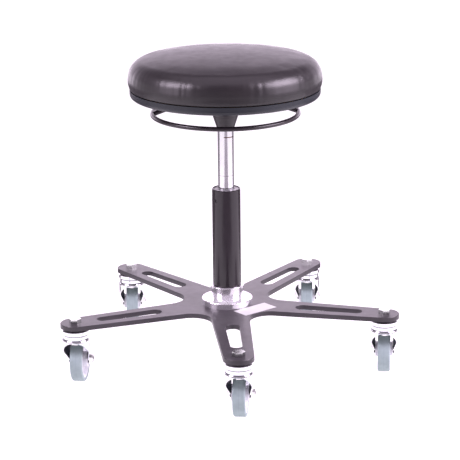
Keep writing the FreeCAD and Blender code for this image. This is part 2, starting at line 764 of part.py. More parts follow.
def make_seat():
    """Pan, board and cushion, with the screws that hold them to the mechanism."""
    floor = s.board_diameter / 2 + s.board_gap
    rim = floor + s.pan_round
    pan_top = seat_base + s.pan_height
    pan = turned("seat_pan", [
        (0, seat_base), (floor, seat_base),
        (rim, seat_base + s.pan_round, "left", QUARTER_RATIO), (rim, pan_top),
        (rim - s.pan_wall, pan_top), (rim - s.pan_wall, seat_base + s.pan_round),
        (floor, board_bottom, "right", QUARTER_RATIO), (0, board_bottom)])
    pan_holes = new_sketch(pan, "XY_Plane", seat_base)
    draw_mount_screws(pan_holes, s.mount_screw_diameter / 2 + s.hole_gap)
    pocket(pan, pan_holes, s.pan_wall, forward=True)
    board = turned("seat_board", [(0, board_bottom), (s.board_diameter / 2, board_bottom),
                                  (s.board_diameter / 2, board_top), (0, board_top)])
    board_holes = new_sketch(board, "XY_Plane", board_top)
    draw_mount_screws(board_holes, s.tee_nut_diameter / 2 + s.fit_gap)
    pocket(board, board_holes, s.board_thickness)
    board_seats = new_sketch(board, "XY_Plane", board_top)
    draw_mount_screws(board_seats, s.tee_nut_flange_diameter / 2 + s.fit_gap)
    pocket(board, board_seats, s.tee_nut_flange_thickness)
    nuts = new_body("tee_nuts")
    barrels = new_sketch(nuts, "XY_Plane", board_bottom)
    flanges = new_sketch(nuts, "XY_Plane", tee_nut_seat)
    for sketch, radius in ((barrels, s.tee_nut_diameter / 2), (flanges, s.tee_nut_flange_diameter / 2)):
        draw_mount_screws(sketch, radius)
        draw_mount_screws(sketch, s.mount_screw_diameter / 2 + s.fit_gap)
    pad(nuts, barrels, s.board_thickness - s.tee_nut_flange_thickness)
    pad(nuts, flanges, s.tee_nut_flange_thickness)
    screws = new_body("seat_screws")
    heads = new_sketch(screws, "XY_Plane", mount_bottom)
    for across, along in MOUNT_CORNERS:
        x, y = across * s.mount_screw_reach, along * s.mount_screw_reach
        draw_hexagon(heads, x, y, s.mount_screw_across_flats)
    pad(screws, heads, s.mount_screw_head_height, backward=True)
    shanks = new_sketch(screws, "XY_Plane", mount_bottom)
    draw_mount_screws(shanks, s.mount_screw_diameter / 2)
    pad(screws, shanks, tee_nut_seat - mount_bottom)
    bottom = board_top + s.running_gap
    shoulder = s.cushion_shoulder_diameter / 2
    shoulder_height = bottom + s.cushion_shoulder_rise
    crown_rise = s.cushion_height - s.cushion_shoulder_rise
    turned("seat_cushion", [
        (0, bottom), (s.cushion_base_diameter / 2, bottom),
        (s.cushion_diameter / 2, bottom + s.cushion_widest_rise, "left", SHALLOW_RATIO),
        (shoulder, shoulder_height, "left", FULL_RATIO),
        (0, bottom + s.cushion_height, "left", dome_radius(shoulder, crown_rise))])


def turned_at_arms(label, outline):
    """A piece turned about each castor's swivel axis. The outline's radii are measured from that axis."""
    body = new_body(label)
    sketch = new_sketch(body, "XZ_Plane")
    draw_upright_axis(sketch, s.bolt_circle_radius, s.castor_height)
    draw_outline(sketch, [(s.bolt_circle_radius + point[0], *point[1:]) for point in outline])
    repeat_round(body, [revolve(body, sketch, "Axis0")])
    place(body, turn=FRONT)


def make_swivel_pieces():
    """What stays with the arms: bolts, lock nuts, kingpin sleeves, upper races and the balls under them."""
    bolts = new_body("castor_bolts")
    heads = new_sketch(bolts, "XY_Plane", plate_top)
    draw_hexagon(heads, s.bolt_circle_radius, as_size(0), s.castor_bolt_across_flats)
    head = pad(bolts, heads, s.castor_bolt_head_height)
    shanks = new_sketch(bolts, "XY_Plane", plate_top)
    draw_circle(shanks, s.bolt_circle_radius, 0, s.castor_bolt_diameter / 2)
    shank = pad(bolts, shanks, plate_top - castor_nut_bottom + s.castor_bolt_tail, backward=True)
    repeat_round(bolts, [head, shank])
    place(bolts, turn=FRONT)
    nuts = new_body("castor_nuts")
    nut_ends = new_sketch(nuts, "XY_Plane", castor_nut_bottom)
    draw_hexagon(nut_ends, s.bolt_circle_radius, as_size(0), s.castor_bolt_across_flats)
    draw_circle(nut_ends, s.bolt_circle_radius, 0, s.castor_bolt_diameter / 2 + s.fit_gap)
    repeat_round(nuts, [pad(nuts, nut_ends, s.castor_nut_height)])
    place(nuts, turn=FRONT)
    bore = s.castor_bolt_diameter / 2 + s.fit_gap
    sleeve = s.kingpin_diameter / 2
    collar = s.kingpin_collar_diameter / 2
    turned_at_arms("kingpin_sleeves", [
        (bore, castor_nut_top), (collar, castor_nut_top), (collar, kingpin_collar_top),
        (sleeve, kingpin_collar_top), (sleeve, s.castor_height), (bore, s.castor_height)])
    race = s.race_diameter / 2
    groove = s.ball_circle_radius
    skirt_bottom = race_bottom - s.race_skirt
    turned_at_arms("swivel_races", [
        (sleeve + s.fit_gap, race_bottom), (groove - ball_groove_reach, race_bottom),
        (groove + ball_groove_reach, race_bottom, "right", ball_groove),
        (race - s.race_wall, race_bottom), (race - s.race_wall, skirt_bottom),
        (race - s.race_edge, skirt_bottom), (race, skirt_bottom + s.race_edge, "left", QUARTER_RATIO),
        (race, s.castor_height - s.race_flare), (s.race_neck_diameter / 2, s.castor_height),
        (sleeve + s.fit_gap, s.castor_height)])
    centres = [at_angle(s.bolt_circle_radius, arm) for arm, _ in CASTOR_ANGLES.values()]
    ball_height = (race_bottom + crown_top) / 2
    make_balls("swivel_balls", centres, ball_height, s.ball_circle_radius, s.ball_diameter)


def draw_fork_section(sketch, half_width, half_crown):
    """The fork's section across the wheel: two legs under a roof with rounded shoulders."""
    low = axle_height - 2 * s.axle_boss_radius
    top = crown_bottom + s.fork_sheet
    shoulder = top - s.fork_shoulder_drop
    inside = half_width - s.fork_sheet
    inner_crown = half_crown - s.fork_sheet
    draw_outline(sketch, [
        (half_width, low), (half_width, shoulder), (half_crown, top, "left", FULL_RATIO),
        (-half_crown, top), (-half_width, shoulder, "left", FULL_RATIO), (-half_width, low),
        (-inside, low), (-inside, shoulder), (-inner_crown, crown_bottom, "right", FULL_RATIO),
        (inner_crown, crown_bottom), (inside, shoulder, "right", FULL_RATIO), (inside, low)])


def make_fork(name):
    """Pressed fork: a round bell in front and two legs that close in behind it, cut to one side outline,
    under a crown that holds the lower ball race."""
    body = new_body(f"fork_{name}")
    trail, boss = s.castor_trail, s.axle_boss_radius
    foot_start = trail - boss
    low = axle_height - 2 * boss
    top = crown_bottom + s.fork_sheet
    shoulder = top - s.fork_shoulder_drop
    arch = crown_bottom - s.fork_arch_drop
    crown = s.fork_crown_width / 2
    inner_crown = crown - s.fork_sheet
    wide = s.fork_width / 2
    narrow = wide - s.fork_sheet
    feet = new_sketch(body, "XZ_Plane", -foot_start)
    draw_fork_section(feet, fork_foot_outside, crown - (wide - fork_foot_outside))
    pad(body, feet, 2 * boss, backward=True)
    hips = new_sketch(body, "XZ_Plane")
    draw_fork_section(hips, wide, crown)
    legs = body.newObject("PartDesign::AdditiveLoft", body.Label + "_legs")
    legs.Profile = hips
    legs.Sections = [feet]
    legs.Ruled = True
    bell = new_sketch(body, "XZ_Plane")
    draw_outline(bell, [
        (0, crown_bottom), (0, top), (-crown, top), (-wide, shoulder, "left", FULL_RATIO), (-wide, low),
        (-narrow, low), (-narrow, shoulder), (-inner_crown, crown_bottom, "right", FULL_RATIO)])
    revolve(body, bell, angle=180)
    trim = new_sketch(body, "YZ_Plane")
    draw_rectangle(trim, -3 * wide, 2 * (trail + boss), low - boss, crown_top + boss)
    draw_outline(trim, [
        (-2 * wide, crown_top), (-2 * wide, arch), (-wide, arch), (foot_start, axle_height),
        (trail, axle_height - boss, "left", QUARTER_RATIO),
        (trail + boss, axle_height, "left", QUARTER_RATIO),
        (s.fork_crown_rear, crown_bottom), (s.fork_crown_rear, crown_top)])
    pocket(body, trim, 2 * s.fork_width, symmetric=True)
    profile = new_sketch(body, "XZ_Plane")
    groove = s.ball_circle_radius
    sleeve = s.kingpin_diameter / 2 + s.running_gap
    rim = s.crown_diameter / 2
    draw_outline(profile, [
        (sleeve, crown_bottom), (rim - s.race_edge, crown_bottom),
        (rim, crown_bottom + s.race_edge, "left", QUARTER_RATIO), (rim, crown_top),
        (groove + ball_groove_reach, crown_top),
        (groove - ball_groove_reach, crown_top, "right", ball_groove), (sleeve, crown_top)])
    revolve(body, profile)
    bore = new_sketch(body, "XY_Plane", crown_top)
    draw_circle(bore, 0, 0, sleeve)
    pocket(body, bore, 2 * s.crown_thickness)
    axle_hole = new_sketch(body, "YZ_Plane")
    draw_circle(axle_hole, trail, axle_height, s.axle_diameter / 2 + s.fit_gap)
    pocket(body, axle_hole, 2 * s.fork_width, symmetric=True)
    return body


def make_axle(name):
    """Shoulder bolt across the fork's legs, its nut, and a thread guard inside each leg."""
    axle = s.axle_diameter / 2
    shoulder = s.axle_shoulder_diameter / 2
    shoulder_end = fork_foot_inside - s.fit_gap
    end = fork_foot_outside + s.axle_nut_height + s.axle_tail
    bolt = turned(f"axle_bolt_{name}", [
        (-fork_foot_outside, 0), (end, 0), (end, axle), (shoulder_end, axle), (shoulder_end, shoulder),
        (-shoulder_end, shoulder), (-shoulder_end, axle), (-fork_foot_outside, axle)], axis="H_Axis")
    head = new_sketch(bolt, "YZ_Plane", -fork_foot_outside)
    draw_hexagon(head, as_size(0), as_size(0), s.axle_head_across_flats)
    pad(bolt, head, s.axle_head_height, backward=True)
    nut = new_body(f"axle_nut_{name}")
    nut_end = new_sketch(nut, "YZ_Plane", fork_foot_outside)
    draw_hexagon(nut_end, as_size(0), as_size(0), s.axle_head_across_flats)
    draw_circle(nut_end, 0, 0, axle + s.fit_gap)
    pad(nut, nut_end, s.axle_nut_height)
    inner = s.wheel_hub_width / 2 + s.running_gap
    outer = inner + s.guard_thickness
    hole = shoulder + s.fit_gap
    edge = s.guard_diameter / 2
    guards = turned(f"thread_guards_{name}",
                    [(inner, hole), (outer, hole), (outer, edge - s.guard_thickness), (inner, edge)],
                    [(-inner, hole), (-inner, edge), (-outer, edge - s.guard_thickness), (-outer, hole)],
                    axis="H_Axis")
    return bolt, nut, guards


def make_wheel(name):
    """Moulded wheel centre with a hub, a web and a rim, and the rubber tread round it."""
    hub_half, rim_half, web_half = s.wheel_hub_width / 2, s.rim_width / 2, s.web_thickness / 2
    bore = s.axle_shoulder_diameter / 2 + s.running_gap
    hub = s.wheel_hub_diameter / 2
    rim = wheel_diameter / 2 - s.tread_depth
    rim_inside = rim - s.rim_depth
    core = turned(f"wheel_core_{name}", [
        (-hub_half, bore), (hub_half, bore), (hub_half, hub), (web_half, hub), (web_half, rim_inside),
        (rim_half, rim_inside), (rim_half, rim), (-rim_half, rim), (-rim_half, rim_inside),
        (-web_half, rim_inside), (-web_half, hub), (-hub_half, hub)], axis="H_Axis")
    half = s.tread_width / 2
    outer = wheel_diameter / 2
    curve = s.tread_shoulder
    inner = rim + s.fit_gap
    tread = turned(f"tread_{name}", [
        (-half, inner), (half, inner), (half, outer - curve), (half - curve, outer, "left", QUARTER_RATIO),
        (curve - half, outer), (-half, outer - curve, "left", QUARTER_RATIO)], axis="H_Axis")
    return core, tread


def make_castors():
    """The five castors, each at its arm's tip and turned the way its wheel trails."""
    for name, (arm, heading) in CASTOR_ANGLES.items():
        x, y = at_angle(s.bolt_circle_radius, arm)
        aside, along = at_angle(s.castor_trail, 90 - heading)
        place(make_fork(name), x, y, turn=-heading)
        for piece in (*make_axle(name), *make_wheel(name)):
            place(piece, x + aside, y + along, axle_height, turn=-heading)


make_base_plate()
make_hub()
make_column()
make_gas_lift()
make_mechanism()
make_release()
make_seat()
make_swivel_pieces()
make_castors()
doc.recompute()

for thing in doc.Objects:
    if "Invalid" in thing.State or "Error" in thing.State:
        raise RuntimeError(f"{thing.Label} failed: {thing.State}")
    if thing.TypeId == "Sketcher::SketchObject" and not thing.FullyConstrained:
        raise RuntimeError(f"{thing.Label} is not fully constrained")
for piece in sub_parts:
    if piece.Shape.isNull() or not piece.Shape.isValid():
        raise RuntimeError(f"{piece.Label} has no valid shape")

os.makedirs("parts", exist_ok=True)
for piece in sub_parts:
    piece.Shape.exportStep(os.path.join("parts", piece.Label + ".step"))
    print(piece.Label, len(piece.Shape.Solids), round(piece.Shape.Volume, 1))
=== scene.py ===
"""Rolling stool: its finishes, cushion, light and camera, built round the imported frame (metres)."""

import json
import math
import random

import bpy
from mathutils import Matrix, Vector, noise


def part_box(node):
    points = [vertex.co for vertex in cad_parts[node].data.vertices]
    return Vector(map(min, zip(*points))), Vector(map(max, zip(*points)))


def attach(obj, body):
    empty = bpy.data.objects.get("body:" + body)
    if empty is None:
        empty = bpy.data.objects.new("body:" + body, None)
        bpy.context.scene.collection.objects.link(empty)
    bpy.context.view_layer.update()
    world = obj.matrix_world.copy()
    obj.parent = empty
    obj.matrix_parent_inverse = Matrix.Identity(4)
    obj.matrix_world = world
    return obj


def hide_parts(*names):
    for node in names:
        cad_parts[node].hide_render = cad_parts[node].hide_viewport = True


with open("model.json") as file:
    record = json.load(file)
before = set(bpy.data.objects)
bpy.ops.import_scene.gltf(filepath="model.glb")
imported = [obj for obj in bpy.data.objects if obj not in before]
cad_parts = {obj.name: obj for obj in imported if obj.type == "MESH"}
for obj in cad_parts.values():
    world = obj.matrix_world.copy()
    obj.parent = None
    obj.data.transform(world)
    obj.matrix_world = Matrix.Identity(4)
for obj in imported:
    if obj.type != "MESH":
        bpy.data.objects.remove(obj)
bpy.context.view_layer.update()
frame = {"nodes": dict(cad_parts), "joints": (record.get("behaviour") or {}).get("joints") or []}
nodes = frame["nodes"]
joints = {joint["name"]: joint for joint in frame["joints"]}

MM = 0.001
CASTORS = ("front", "right", "rear_right", "rear_left", "left")

# Each finish's darker and paler tone, as linear colours.
VINYL = ((0.0085, 0.0065, 0.0085), (0.0125, 0.0095, 0.0115))
PAN = ((0.005, 0.0065, 0.011), (0.008, 0.010, 0.016))
PLATE = ((0.028, 0.024, 0.029), (0.038, 0.033, 0.040))
PAINT = ((0.010, 0.0065, 0.0095), (0.015, 0.010, 0.0145))
CHROME = ((0.86, 0.85, 0.88), (0.94, 0.93, 0.96))
TUBE = ((0.68, 0.68, 0.70), (0.77, 0.77, 0.79))
ZINC = ((0.72, 0.72, 0.72), (0.86, 0.86, 0.85))
BOLT = ((0.58, 0.60, 0.58), (0.72, 0.74, 0.72))
# Painted shade for the fork's inside.
FORK_INSIDE_SHADE = ((0.004, 0.008, 0.015), (0.007, 0.013, 0.022))
TREAD = ((0.27, 0.34, 0.35), (0.32, 0.40, 0.41))
PALE_PLASTIC = ((0.70, 0.71, 0.75), (0.80, 0.81, 0.84))
WOOD = ((0.36, 0.22, 0.11), (0.52, 0.36, 0.20))
PAPER = ((0.48, 0.48, 0.48), (0.56, 0.56, 0.56))
BUSH = ((0.24, 0.24, 0.25), (0.33, 0.33, 0.33))

# Noise scales by axis, for scratches round the upright axis and for wood grain along x.
SCRATCHES = (60.0, 60.0, 4000.0)
WOOD_FIGURE = (1.0, 14.0, 14.0)
WOOD_GRAIN = (1.0, 20.0, 20.0)


class Finish:
    """A material under construction: a principled surface and the object's own coordinates."""

    def __init__(self, name, roughness, metallic=0.0, ior=1.5):
        self.material = bpy.data.materials.new(name)
        self.material.use_nodes = True
        self.tree = self.material.node_tree
        self.surface = self.tree.nodes["Principled BSDF"]
        self.surface.inputs["Roughness"].default_value = roughness
        self.surface.inputs["Metallic"].default_value = metallic
        self.surface.inputs["IOR"].default_value = ior
        self.coordinates = self.tree.nodes.new("ShaderNodeTexCoord")
        self.place = self.coordinates.outputs["Object"]
        self.relief = None

    def add(self, kind, *sources, **settings):
        """A node with its settings, and its first inputs linked or set in order."""
        made = self.tree.nodes.new("ShaderNode" + kind)
        for key, value in settings.items():
            setattr(made, key, value)
        for socket, source in zip(made.inputs, sources):
            if isinstance(source, bpy.types.NodeSocket):
                self.tree.links.new(source, socket)
            else:
                socket.default_value = source
        return made

    def link(self, source, name):
        """Feeds an input of the surface."""
        self.tree.links.new(source, self.surface.inputs[name])

    def noise(self, scale, detail=3.0, place=None):
        made = self.add("TexNoise", place or self.place)
        made.inputs["Scale"].default_value = scale
        made.inputs["Detail"].default_value = detail
        return made.outputs["Fac"]

    def cells(self, scale):
        """The distance to the middle of each of many cells, as in pebbled grain."""
        made = self.add("TexVoronoi", self.place, feature="F1")
        made.inputs["Scale"].default_value = scale
        return made.outputs["Distance"]

    def stretched(self, scales):
        """Coordinates scaled by axis, for grain that runs one way."""
        return self.add("VectorMath", self.place, scales, operation="MULTIPLY").outputs["Vector"]

    def split(self, vector):
        """A vector's parts by axis."""
        return self.add("SeparateXYZ", vector).outputs

    def spread(self, factor, low=0.0, high=1.0, start=0.3, end=0.7):
        """A noise's usual span mapped to a range."""
        return self.add("MapRange", factor, start, end, low, high).outputs["Result"]

    def math(self, operation, *values):
        return self.add("Math", *values, operation=operation).outputs["Value"]

    def mix(self, factor, first, second):
        """A colour between two, each of which is a colour or a socket."""
        made = self.add("Mix", data_type="RGBA")
        for name, value in (("Factor", factor), ("A", first), ("B", second)):
            socket = [s for s in made.inputs if s.name == name and s.enabled][0]
            if isinstance(value, bpy.types.NodeSocket):
                self.tree.links.new(value, socket)
            else:
                socket.default_value = (*value, 1.0)
        return [s for s in made.outputs if s.enabled][0]

    def clouded(self, tones, scale, place=None):
        """A colour that drifts between two tones."""
        return self.mix(self.spread(self.noise(scale, place=place)), *tones)

    def colour(self, tones, scale, place=None):
        """Paints the surface in two tones."""
        self.link(self.clouded(tones, scale, place), "Base Color")

    def rough(self, low, high, scale):
        """Lets the roughness drift between two values."""
        self.link(self.spread(self.noise(scale), low, high), "Roughness")

    def bump(self, height, depth):
        """Adds relief of that depth in metres, on top of any relief before it."""
        made = self.add("Bump")
        made.inputs["Distance"].default_value = depth
        self.tree.links.new(height, made.inputs["Height"])
        if self.relief is not None:
            self.tree.links.new(self.relief, made.inputs["Normal"])
        self.relief = made.outputs["Normal"]
        self.link(self.relief, "Normal")


def vinyl():
    """Soft black vinyl: broad tone, a pebbled grain and fine pores."""
    finish = Finish("seat_vinyl", roughness=0.36)
    finish.colour(VINYL, scale=14.0)
    finish.rough(low=0.33, high=0.39, scale=60.0)
    finish.bump(finish.cells(scale=620.0), depth=0.03 * MM)
    finish.bump(finish.noise(scale=1900.0, detail=2.0), depth=0.01 * MM)
    return finish.material


def moulded(name, tones, low, high):
    """Moulded plastic, or paper, with a fine even texture."""
    finish = Finish(name, roughness=(low + high) / 2)
    finish.colour(tones, scale=30.0)
    finish.rough(low, high, scale=90.0)
    finish.bump(finish.noise(scale=1400.0, detail=2.0), depth=0.02 * MM)
    return finish.material


def coated(name, tones, low, high, ior=1.5):
    """Painted or powder-coated steel with a slight orange peel."""
    finish = Finish(name, roughness=(low + high) / 2, ior=ior)
    finish.colour(tones, scale=22.0)
    finish.rough(low, high, scale=70.0)
    finish.bump(finish.noise(scale=700.0, detail=2.0), depth=0.02 * MM)
    return finish.material


def plated(name, tones, low, high, scratch=0.004 * MM, metallic=1.0):
    """Plated steel: slight clouding, and scratches that run round the upright axis."""
    finish = Finish(name, roughness=(low + high) / 2, metallic=metallic)
    finish.colour(tones, scale=45.0)
    finish.rough(low, high, scale=120.0)
    finish.bump(finish.noise(scale=1.0, place=finish.stretched(SCRATCHES)), scratch)
    return finish.material


def turned(name, tones):
    """Bright zinc on forged heads: fine clouding and a slightly uneven, unscratched face."""
    finish = Finish(name, roughness=0.2, metallic=1.0)
    finish.colour(tones, scale=160.0)
    finish.rough(low=0.16, high=0.24, scale=240.0)
    finish.bump(finish.noise(scale=260.0, detail=1.0), depth=0.02 * MM)
    return finish.material


# Lines round the pressure tube: a dark joint that starts a little left of the middle, and a fainter line.
JOINT_HEIGHT = 420.0 * MM
JOINT_HALF = 0.9 * MM
JOINT_START = -4.0 * MM
JOINT_COLOUR = (0.16, 0.10, 0.08)
LOW_LINE_HEIGHT = 351.0 * MM
LOW_LINE_HALF = 0.6 * MM
LOW_LINE_COLOUR = (0.30, 0.28, 0.30)
LOW_LINE_STRENGTH = 0.5


def pressure_tube():
    """Polished tube with a dark joint line part of the way round and a fainter one lower down."""
    finish = Finish("pressure_tube", roughness=0.12, metallic=1.0)
    axes = finish.split(finish.place)
    on_right = finish.math("GREATER_THAN", axes["X"], JOINT_START)
    at_joint = finish.math("COMPARE", axes["Z"], JOINT_HEIGHT, JOINT_HALF)
    at_low_line = finish.math("COMPARE", axes["Z"], LOW_LINE_HEIGHT, LOW_LINE_HALF)
    joint = finish.math("MULTIPLY", at_joint, on_right)
    low_line = finish.math("MULTIPLY", at_low_line, LOW_LINE_STRENGTH)
    marked = finish.mix(joint, finish.clouded(TUBE, scale=45.0), JOINT_COLOUR)
    finish.link(finish.mix(low_line, marked, LOW_LINE_COLOUR), "Base Color")
    finish.rough(low=0.09, high=0.16, scale=120.0)
    finish.bump(finish.noise(scale=1.0, place=finish.stretched(SCRATCHES)), depth=0.003 * MM)
    return finish.material


# Painted shade in a castor's two seams, under the race's skirt and on the fork's shoulder: a darker, greyer
# band of the chrome where shade falls.
SEAM_SHADE_HEIGHTS = (95.8 * MM, 88.6 * MM)
SEAM_SHADE_HALF = 0.9 * MM
SEAM_SHADE = (0.20, 0.21, 0.24)

# The fork's inside, painted in shade as a dark, dull sheet without metal: how far a wall has to face the
# swivel axis, how little it may face down, how much the underside of the crown has to, and how much rougher
# and duller all of it is than the chrome.
WALL_FACING = -4.0 * MM
WALL_TILT = -0.5
CROWN_TILT = -0.9
INSIDE_ROUGHER = 0.30
INSIDE_SPECULAR = 0.2


def fork(name):
    """Bright chrome outside with painted shade in its seams, and painted shade over its inside, which is
    dark, duller and not metallic, told apart by which way the sheet faces."""
    finish = Finish(f"fork_{name}", roughness=0.14, metallic=1.0)
    finish.surface.inputs["Specular IOR Level"].default_value = INSIDE_SPECULAR
    normal = finish.coordinates.outputs["Normal"]
    swivel = Vector(joints[f"swivel_{name}"]["pos_m"])
    from_axis = finish.add("VectorMath", finish.place, swivel, operation="SUBTRACT").outputs["Vector"]
    level = finish.add("VectorMath", from_axis, (1.0, 1.0, 0.0), operation="MULTIPLY").outputs["Vector"]
    facing = finish.add("VectorMath", level, normal, operation="DOT_PRODUCT").outputs["Value"]
    upward = finish.split(normal)["Z"]
    wall = finish.math("MULTIPLY", finish.math("LESS_THAN", facing, WALL_FACING),
                       finish.math("GREATER_THAN", upward, WALL_TILT))
    inside = finish.math("ADD", wall, finish.math("LESS_THAN", upward, CROWN_TILT))
    height = finish.split(finish.place)["Z"]
    # Painted shade: two thin bands round the fork where its seams lie.
    seams = [finish.math("COMPARE", height, seam, SEAM_SHADE_HALF) for seam in SEAM_SHADE_HEIGHTS]
    outer = finish.mix(finish.math("ADD", *seams), finish.clouded(CHROME, scale=60.0), SEAM_SHADE)
    # Painted shade: the inside gets the dark tones here, and no metal and more roughness below.
    finish.link(finish.mix(inside, outer, finish.clouded(FORK_INSIDE_SHADE, scale=60.0)), "Base Color")
    finish.link(finish.math("SUBTRACT", 1.0, inside), "Metallic")
    polish = finish.spread(finish.noise(scale=120.0), low=0.10, high=0.18)
    finish.link(finish.math("MULTIPLY_ADD", inside, INSIDE_ROUGHER, polish), "Roughness")
    finish.bump(finish.noise(scale=500.0, detail=2.0), depth=0.006 * MM)
    return finish.material


PARTING_HALF = 0.4 * MM
PARTING_COLOUR = (0.22, 0.25, 0.27)
PARTING_STRENGTH = 0.35


def tread(name):
    """Grey rubber with a parting line round its middle and a fine rough grain."""
    finish = Finish(f"tread_{name}", roughness=0.6)
    roll = joints[f"roll_{name}"]
    from_axle = finish.add("VectorMath", finish.place, roll["pos_m"], operation="SUBTRACT").outputs["Vector"]
    aside = finish.add("VectorMath", from_axle, roll["axis"], operation="DOT_PRODUCT").outputs["Value"]
    line = finish.math("MULTIPLY", finish.math("COMPARE", aside, 0.0, PARTING_HALF), PARTING_STRENGTH)
    finish.link(finish.mix(line, finish.clouded(TREAD, scale=90.0), PARTING_COLOUR), "Base Color")
    finish.rough(low=0.5, high=0.68, scale=200.0)
    finish.bump(finish.noise(scale=900.0), depth=0.03 * MM)
    return finish.material


def plywood():
    """Bare plywood with its grain along x."""
    finish = Finish("board_wood", roughness=0.6)
    finish.colour(WOOD, scale=9.0, place=finish.stretched(WOOD_FIGURE))
    finish.bump(finish.noise(scale=40.0, place=finish.stretched(WOOD_GRAIN)), depth=0.05 * MM)
    return finish.material


def paint(material, *names):
    """Gives the named nodes a material."""
    for name in names:
        nodes[name].data.materials.clear()
        nodes[name].data.materials.append(material)


def finish_nodes():
    """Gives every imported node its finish."""
    paint(coated("satin_plate", PLATE, low=0.30, high=0.36, ior=1.48), "base_plate")
    paint(coated("column_paint", PAINT, low=0.16, high=0.22), "column_tube")
    paint(coated("black_steel", PAINT, low=0.26, high=0.36),
          "mechanism_housing", "release_ring", "rocker", "bush_screws")
    paint(plated("hub_chrome", CHROME, low=0.14, high=0.20, metallic=0.84), "hub_socket")
    paint(pressure_tube(), "pressure_tube")
    paint(plated("race_chrome", CHROME, low=0.10, high=0.16), "swivel_races")
    zinc = plated("zinc", ZINC, low=0.22, high=0.32, scratch=0.008 * MM)
    paint(turned("bolt_zinc", BOLT), "castor_bolts")
    paint(zinc, "hub_screws", "castor_nuts", "kingpin_sleeves", "piston_rod", "rod_clip", "piston",
          "thrust_washers", "thrust_balls", "swivel_balls", "seat_screws", "tee_nuts", "rocker_pin",
          "valve_body", "valve_pin", "tube_gland")
    paint(moulded("pan_plastic", PAN, low=0.28, high=0.36), "seat_pan")
    paint(moulded("bush_plastic", BUSH, low=0.35, high=0.45), "guide_bush")
    paint(plywood(), "seat_board")
    guard = moulded("guard_plastic", PALE_PLASTIC, low=0.30, high=0.40)
    core = moulded("core_plastic", PALE_PLASTIC, low=0.36, high=0.46)
    for name in CASTORS:
        paint(fork(name), f"fork_{name}")
        paint(tread(name), f"tread_{name}")
        paint(guard, f"thread_guards_{name}")
        paint(core, f"wheel_core_{name}")
        paint(zinc, f"axle_bolt_{name}", f"axle_nut_{name}")


# The cushion's section: radii, heights over its base, and each arc's radius as a share of its chord.
BASE_RADIUS = 164.5 * MM
WIDEST_RISE = 23.0 * MM
SHOULDER_RADIUS = 144.5 * MM
SHOULDER_RISE = 50.0 * MM
UNDERCUT_RATIO = 1.4
SHOULDER_RATIO = 0.78
ARC_STEPS = 24
CUSHION_RINGS = 56

# The cover: how much smaller it is cut, its swelling under pressure, and how far a point may move.
COVER_SLACK = 1.0 * MM
COVER_REACH = 1.2 * MM
COVER_PRESSURE = 4.0
COVER_STIFFNESS = 80.0
COVER_QUALITY = 6
COVER_FRAMES = 20
EVENING_ROUNDS = 30
FIXED_RISE = 1.0 * MM

# Pull lines up the cushion's side, each with a seeded angle, depth, width and rise, and a slight unevenness.
PULL_SEED = 4
PULL_COUNT = 150
PULL_DEPTHS = (0.08 * MM, 0.34 * MM)
PULL_WIDTHS = (1.8 * MM, 3.4 * MM)
PULL_RISES = (46.0 * MM, 60.0 * MM)
PULL_REACH = 3.0
UNEVEN_DEPTH = 0.35 * MM
UNEVEN_SCALE = 16.0


def arc(start, end, radius):
    """Points along the arc from start to end that turns left, without its start."""
    chord = end - start
    rise = math.sqrt(max(radius ** 2 - chord.length_squared / 4, 0.0))
    centre = (start + end) / 2 + Vector((-chord.y, chord.x)).normalized() * rise
    first = math.atan2(start.y - centre.y, start.x - centre.x)
    sweep = 2 * math.asin(min(1.0, chord.length / 2 / radius))
    angles = [first + sweep * step / ARC_STEPS for step in range(1, ARC_STEPS + 1)]
    return [centre + radius * Vector((math.cos(angle), math.sin(angle))) for angle in angles]


def cushion_section(widest_radius, height):
    """The section as (radius, rise) points from the base's edge to the middle of the crown."""
    base = Vector((BASE_RADIUS, 0.0))
    widest = Vector((widest_radius, WIDEST_RISE))
    shoulder = Vector((SHOULDER_RADIUS, SHOULDER_RISE))
    top = Vector((0.0, height))
    crown = height - SHOULDER_RISE
    dome = (SHOULDER_RADIUS ** 2 + crown ** 2) / (2 * crown)
    return [base, *arc(base, widest, (widest - base).length * UNDERCUT_RATIO),
            *arc(widest, shoulder, (shoulder - widest).length * SHOULDER_RATIO), *arc(shoulder, top, dome)]


def along_section(section, share):
    """The point at that share of the section's length from the crown's middle to the base's edge."""
    points = section[::-1]
    lengths = [(after - before).length for before, after in zip(points, points[1:])]
    left = share * sum(lengths)
    for before, after, length in zip(points, points[1:], lengths):
        if left <= length:
            return before.lerp(after, left / length)
        left -= length
    return points[-1]


def ring_angle(row, column):
    """The angle round the middle of a cell corner in a square grid wound into rings."""
    if row == 0 and column == 0:
        return 0.0
    if abs(column) >= abs(row):
        return math.pi / 4 * row / column + (math.pi if column < 0 else 0.0)
    return math.pi / 2 - math.pi / 4 * column / row + (math.pi if row < 0 else 0.0)


def cushion_mesh(section, centre, bottom):
    """A cover of square cells wound in rings, closed by a flat base of the same cells."""
    size = CUSHION_RINGS
    span = range(-size, size + 1)
    cover = [along_section(section, ring / size) for ring in range(size + 1)]
    base = [Vector((section[0].x * ring / size, 0.0)) for ring in range(size)]
    vertices, faces, edge = [], [], {}
    for spots in (cover, base):
        index = dict(edge)
        for row in span:
            for column in span:
                if (row, column) in index:
                    continue
                angle = ring_angle(row, column)
                radius, rise = spots[max(abs(row), abs(column))]
                index[row, column] = len(vertices)
                vertices.append((centre.x + radius * math.cos(angle), centre.y + radius * math.sin(angle),
                                 bottom + rise))
        cells = [(index[row, column], index[row, column + 1],
                  index[row + 1, column + 1], index[row + 1, column])
                 for row in span[:-1] for column in span[:-1]]
        faces += cells if spots is cover else [cell[::-1] for cell in cells]
        edge = {corner: place for corner, place in index.items() if max(map(abs, corner)) == size}
    mesh = bpy.data.meshes.new("seat_cushion_cover")
    mesh.from_pydata(vertices, [], faces)
    for polygon in mesh.polygons:
        polygon.use_smooth = True
    return mesh


def capped(step):
    """The step, cut to the cover's reach."""
    return step * (COVER_REACH / step.length) if step.length > COVER_REACH else step


